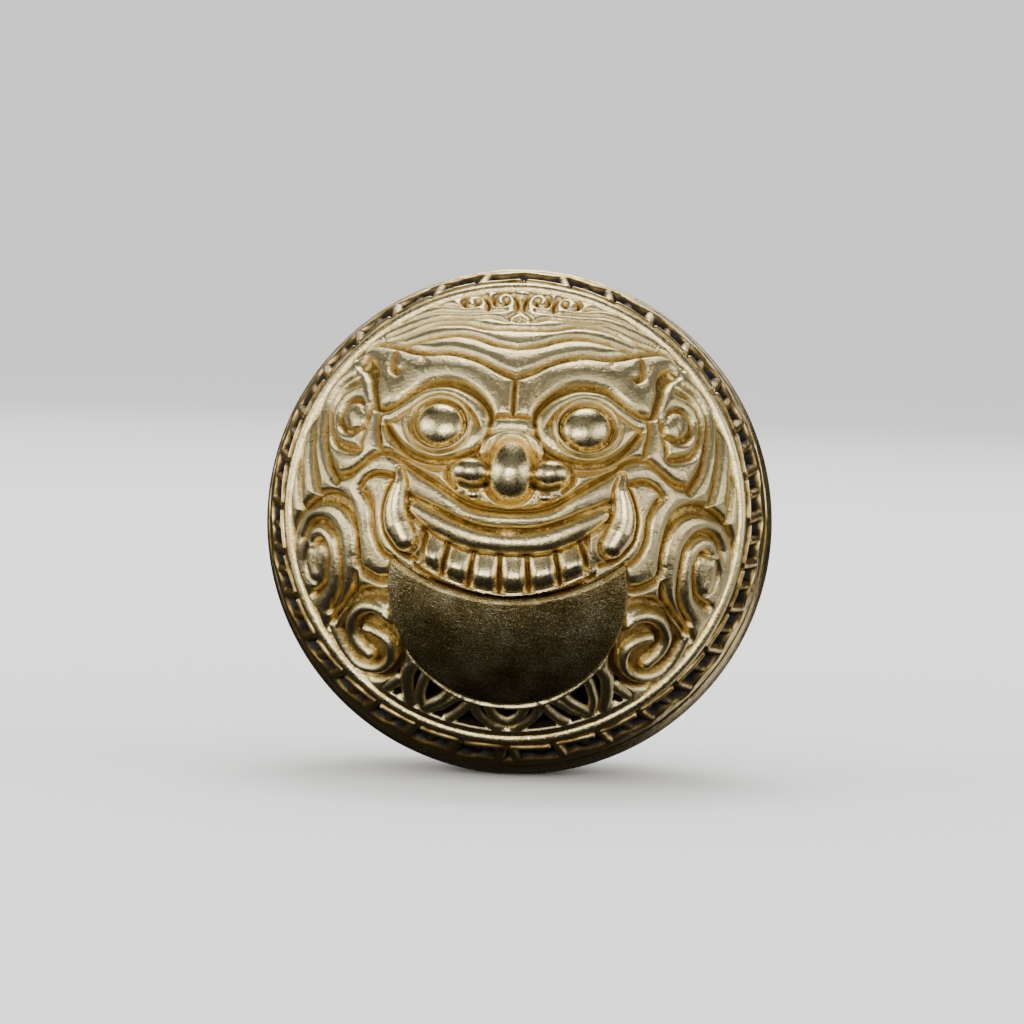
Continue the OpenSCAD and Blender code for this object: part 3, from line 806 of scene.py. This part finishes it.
class Nodes:
    """A short way to write a material's node tree."""

    def __init__(self, name):
        self.material = bpy.data.materials.new(name)
        self.material.use_nodes = True
        self.tree = self.material.node_tree
        self.shader = self.tree.nodes["Principled BSDF"]

    def add(self, kind, **settings):
        node = self.tree.nodes.new(kind)
        for key, value in settings.items():
            setattr(node, key, value)
        return node

    def link(self, out, into):
        self.tree.links.new(out, into)

    def attribute(self, name):
        return self.add("ShaderNodeAttribute", attribute_name=name).outputs["Fac"]

    def noise(self, scale, detail=3.0, roughness=0.5):
        node = self.add("ShaderNodeTexNoise")
        node.inputs["Scale"].default_value = scale
        node.inputs["Detail"].default_value = detail
        node.inputs["Roughness"].default_value = roughness
        self.link(self.object_space(), node.inputs["Vector"])
        return node.outputs["Fac"]

    def object_space(self):
        return self.add("ShaderNodeTexCoord").outputs["Object"]

    def ramp(self, source, *stops):
        node = self.add("ShaderNodeValToRGB")
        elements = node.color_ramp.elements
        while len(elements) < len(stops):
            elements.new(0.5)
        for element, (place, colour) in zip(elements, stops):
            element.position = place
            element.color = (*colour, 1)
        self.link(source, node.inputs["Fac"])
        return node.outputs["Color"]

    def mix(self, share, a, b):
        node = self.add("ShaderNodeMix", data_type="RGBA")
        for source, name in ((share, "Factor"), (a, "A"), (b, "B")):
            socket = node.inputs[name]
            if isinstance(source, (int, float)):
                socket.default_value = source
            elif isinstance(source, tuple):
                socket.default_value = (*source, 1)
            else:
                self.link(source, socket)
        return node.outputs["Result"]

    def span(self, source, low, high, to_low, to_high):
        node = self.add("ShaderNodeMapRange")
        for name, value in (("From Min", low), ("From Max", high), ("To Min", to_low), ("To Max", to_high)):
            node.inputs[name].default_value = value
        self.link(source, node.inputs["Value"])
        return node.outputs["Result"]

    def maths(self, operation, a, b=0.0):
        node = self.add("ShaderNodeMath", operation=operation)
        for source, socket in ((a, node.inputs[0]), (b, node.inputs[1])):
            if isinstance(source, (int, float)):
                socket.default_value = source
            else:
                self.link(source, socket)
        return node.outputs[0]

    def bump(self, height, strength, distance):
        node = self.add("ShaderNodeBump")
        node.inputs["Strength"].default_value = strength
        node.inputs["Distance"].default_value = distance
        self.link(height, node.inputs["Height"])
        self.link(node.outputs["Normal"], self.shader.inputs["Normal"])


def carved_brass():
    m = Nodes("carved_brass")
    recess_shade = m.attribute("recess_shade")
    shade_black = m.attribute("shade_black")
    polish = m.attribute("polish")
    patch = m.noise(420, 4)
    speck = m.noise(6400, 3, 0.65)
    # painted recess shade plus random mottling of the metal, lighter on the polished parts
    shade_and_mottle = m.maths("ADD", recess_shade, m.span(patch, 0.35, 0.70, -0.10, 0.18))
    shade_and_mottle = m.maths("ADD", shade_and_mottle, m.span(m.noise(1900, 4, 0.6), 0.38, 0.68, -0.12, 0.20))
    shade_and_mottle = m.maths("ADD", shade_and_mottle, m.span(speck, 0.35, 0.75, -0.18, 0.26))
    shade_and_mottle = m.maths("SUBTRACT", shade_and_mottle, m.span(polish, 0, 1, 0, 0.14))
    # gold on the tops, through ochre, to dark brown in the deepest recesses: painted shade
    colour = m.ramp(shade_and_mottle,
                    (0.0, (0.93, 0.77, 0.40)), (0.26, (0.87, 0.66, 0.27)), (0.50, (0.72, 0.50, 0.15)),
                    (0.82, (0.58, 0.40, 0.12)), (1.0, (0.26, 0.16, 0.035)))
    # painted dark shade and dark reflection in the collar's sunk ground and the nostril slit
    colour = m.mix(m.span(shade_black, 0.25, 0.75, 0, 1), colour, (0.012, 0.009, 0.006))
    m.link(colour, m.shader.inputs["Base Color"])
    rough = m.maths("ADD", m.span(shade_and_mottle, 0.1, 0.8, 0.30, 0.52), m.span(speck, 0.3, 0.7, -0.04, 0.08))
    rough = m.maths("SUBTRACT", rough, m.span(polish, 0, 1, 0, 0.03))
    m.link(m.maths("ADD", rough, m.span(shade_black, 0, 1, 0, 0.3)), m.shader.inputs["Roughness"])
    m.shader.inputs["Metallic"].default_value = 1.0
    grain = m.maths("MULTIPLY", m.span(shade_and_mottle, 0.1, 0.7, 0.75, 1.0), m.span(polish, 0, 1, 1.0, 0.45))
    m.bump(m.maths("MULTIPLY", speck, grain), 0.9, 0.00006)
    return m.material


def blasted_brass():
    m = Nodes("blasted_brass")
    grain = m.noise(13000, 2, 0.6)
    coarse = m.noise(5200, 3, 0.6)
    cloud = m.noise(500, 3)
    mixed = m.maths("ADD", m.maths("MULTIPLY", grain, 0.7), m.maths("MULTIPLY", coarse, 0.3))
    colour = m.ramp(m.maths("ADD", mixed, m.span(cloud, 0.3, 0.7, -0.10, 0.10)),
                    (0.34, (0.12, 0.085, 0.03)), (0.52, (0.46, 0.34, 0.13)), (0.70, (1.0, 0.90, 0.60)))
    m.link(colour, m.shader.inputs["Base Color"])
    m.link(m.span(mixed, 0.3, 0.7, 0.42, 0.26), m.shader.inputs["Roughness"])
    m.shader.inputs["Metallic"].default_value = 1.0
    m.bump(mixed, 1.0, 0.00006)
    return m.material


def fret_brass():
    m = Nodes("fret_brass")
    lift = m.attribute("lift")
    patch = m.noise(900, 4)
    # painted shade by the fret's height, dark at the floor through ochre to gold on top, with random patches
    depth_shade_and_mottle = m.maths("ADD", lift, m.span(patch, 0.35, 0.7, 0.08, -0.24))
    colour = m.ramp(depth_shade_and_mottle,
                    (0.45, (0.006, 0.005, 0.004)), (0.62, (0.06, 0.035, 0.012)), (0.80, (0.58, 0.38, 0.10)),
                    (0.97, (0.92, 0.74, 0.38)))
    m.link(colour, m.shader.inputs["Base Color"])
    m.link(m.span(depth_shade_and_mottle, 0.4, 1.0, 0.62, 0.28), m.shader.inputs["Roughness"])
    m.link(m.span(depth_shade_and_mottle, 0.45, 0.7, 0.2, 1.0), m.shader.inputs["Metallic"])
    m.bump(m.noise(5200, 3), 0.25, 0.00003)
    return m.material


def polished_brass():
    m = Nodes("polished_brass")
    cloud = m.noise(160, 4)
    fine = m.noise(2600, 3)
    colour = m.ramp(cloud, (0.3, (0.78, 0.59, 0.26)), (0.7, (0.90, 0.71, 0.36)))
    m.link(colour, m.shader.inputs["Base Color"])
    m.link(m.maths("ADD", m.span(cloud, 0.3, 0.7, 0.20, 0.30), m.span(fine, 0.3, 0.7, -0.03, 0.05)),
           m.shader.inputs["Roughness"])
    m.shader.inputs["Metallic"].default_value = 1.0
    m.bump(m.maths("ADD", fine, cloud), 0.10, 0.00004)
    return m.material


def steel(name, colour, low, high):
    m = Nodes(name)
    grain = m.noise(2400, 3)
    m.link(m.mix(m.span(grain, 0.3, 0.7, 0, 1), tuple(0.8 * c for c in colour), colour),
           m.shader.inputs["Base Color"])
    m.link(m.span(grain, 0.3, 0.7, low, high), m.shader.inputs["Roughness"])
    m.shader.inputs["Metallic"].default_value = 1.0
    m.bump(grain, 0.15, 0.00003)
    return m.material


# ---------------------------------------------------------------------------------------------------------
# Camera, lights and floor
# ---------------------------------------------------------------------------------------------------------

def build_stage():
    scene = bpy.context.scene
    centre = CENTRE * MM
    azimuth, elevation, roll = math.radians(2.5), math.radians(2.7), math.radians(1.8)
    distance = 0.400
    # the ball's width and the picture's shift, as shares of the picture's width
    ball_share, shift_x, shift_y = 0.4927734375, -0.00732421875, 0.00947265625
    direction = Vector((math.sin(azimuth) * math.cos(elevation), -math.cos(azimuth) * math.cos(elevation),
                        math.sin(elevation)))
    camera_data = bpy.data.cameras.new("camera")
    camera = bpy.data.objects.new("camera", camera_data)
    scene.collection.objects.link(camera)
    camera.location = centre + direction * distance
    facing = (-direction).to_track_quat("-Z", "Y")
    camera.rotation_euler = (facing.to_matrix() @ Matrix.Rotation(roll, 3, "Z")).to_euler()
    camera_data.sensor_width = 36
    camera_data.lens = camera_data.sensor_width * distance * ball_share / (2 * BALL_R * MM)
    camera_data.shift_x = shift_x
    camera_data.shift_y = shift_y
    camera_data.clip_start = 0.01
    scene.camera = camera

    floor_mesh = bpy.data.meshes.new("floor")
    size = 1.5
    floor_mesh.from_pydata([(-size, -size, 0), (size, -size, 0), (size, size, 0), (-size, size, 0)], [],
                           [(0, 1, 2, 3)])
    floor = bpy.data.objects.new("floor", floor_mesh)
    scene.collection.objects.link(floor)
    m = Nodes("floor_paper")
    m.shader.inputs["Base Color"].default_value = (0.80, 0.80, 0.79, 1)
    m.shader.inputs["Roughness"].default_value = 0.7
    m.shader.inputs["Specular IOR Level"].default_value = 0.0
    floor_mesh.materials.append(m.material)
    floor.visible_glossy = False
    floor.visible_shadow = False

    def softbox(name, azimuth, elevation, away, width, height, radiance):
        """An area light at an azimuth and elevation from the ball, which faces it."""
        a, e = math.radians(azimuth), math.radians(elevation)
        data = bpy.data.lights.new(name, "AREA")
        data.shape = "RECTANGLE"
        data.size, data.size_y = width, height
        data.energy = radiance * math.pi * width * height
        light = bpy.data.objects.new(name, data)
        out = Vector((math.sin(a) * math.cos(e), -math.cos(a) * math.cos(e), math.sin(e)))
        light.location = centre + out * away
        light.rotation_euler = (-out).to_track_quat("-Z", "Y").to_euler()
        light.visible_camera = False
        scene.collection.objects.link(light)

    softbox("front", 0, 16, 0.50, 0.38, 0.17, 5.2)
    softbox("top", 0, 60, 0.50, 0.60, 0.26, 0.15)
    softbox("left", -72, 17, 0.50, 0.46, 0.26, 3.1)
    softbox("right", 72, 17, 0.50, 0.46, 0.26, 2.3)
    softbox("back", 180, 28, 0.60, 0.70, 0.34, 1.2)
    softbox("front_low", 0, -4, 0.50, 0.46, 0.07, 0.5)
    softbox("left_low", -76, -8, 0.50, 0.50, 0.12, 0.3)
    softbox("right_low", 76, -8, 0.50, 0.50, 0.12, 0.25)
    softbox("back_low", 131, -24, 0.60, 0.60, 0.22, 0.9)
    softbox("spark", -14, 8, 0.49, 0.11, 0.07, 14.0)
    softbox("crown", 180, 64, 0.50, 0.26, 0.13, 11.0)
    softbox("rim", 180, 42, 0.50, 0.24, 0.09, 7.0)

    world = bpy.data.worlds.new("studio")
    scene.world = world
    world.use_nodes = True
    tree = world.node_tree
    background = tree.nodes["Background"]
    path = tree.nodes.new("ShaderNodeLightPath")
    shade = (1.28, 1.28, 1.28, 1)
    for ray, level in (("Is Camera Ray", 1.03), ("Is Glossy Ray", 0.010)):
        mix = tree.nodes.new("ShaderNodeMix")
        mix.data_type = "RGBA"
        if isinstance(shade, tuple):
            mix.inputs["A"].default_value = shade
        else:
            tree.links.new(shade, mix.inputs["A"])
        mix.inputs["B"].default_value = (level, level, level, 1)
        tree.links.new(path.outputs[ray], mix.inputs["Factor"])
        shade = mix.outputs["Result"]
    tree.links.new(shade, background.inputs["Color"])
    background.inputs["Strength"].default_value = 1.0


build_stage()
face = build_face()
tongue = build_tongue()
border = build_border()
rear_piece = build_rear()

face.data.materials.append(carved_brass())
tongue.data.materials.append(blasted_brass())
border.data.materials.append(fret_brass())
rear_piece.data.materials.append(polished_brass())

bright_steel = steel("bright_steel", (0.66, 0.66, 0.68), 0.22, 0.34)
ballast_steel = steel("ballast_steel", (0.42, 0.42, 0.43), 0.38, 0.5)
for node, material in (("washer", bright_steel), ("tie_screw", bright_steel),
                       ("locating_pins", bright_steel), ("ballast_drum", ballast_steel)):
    mesh = frame["nodes"][node].data
    mesh.materials.clear()
    mesh.materials.append(material)
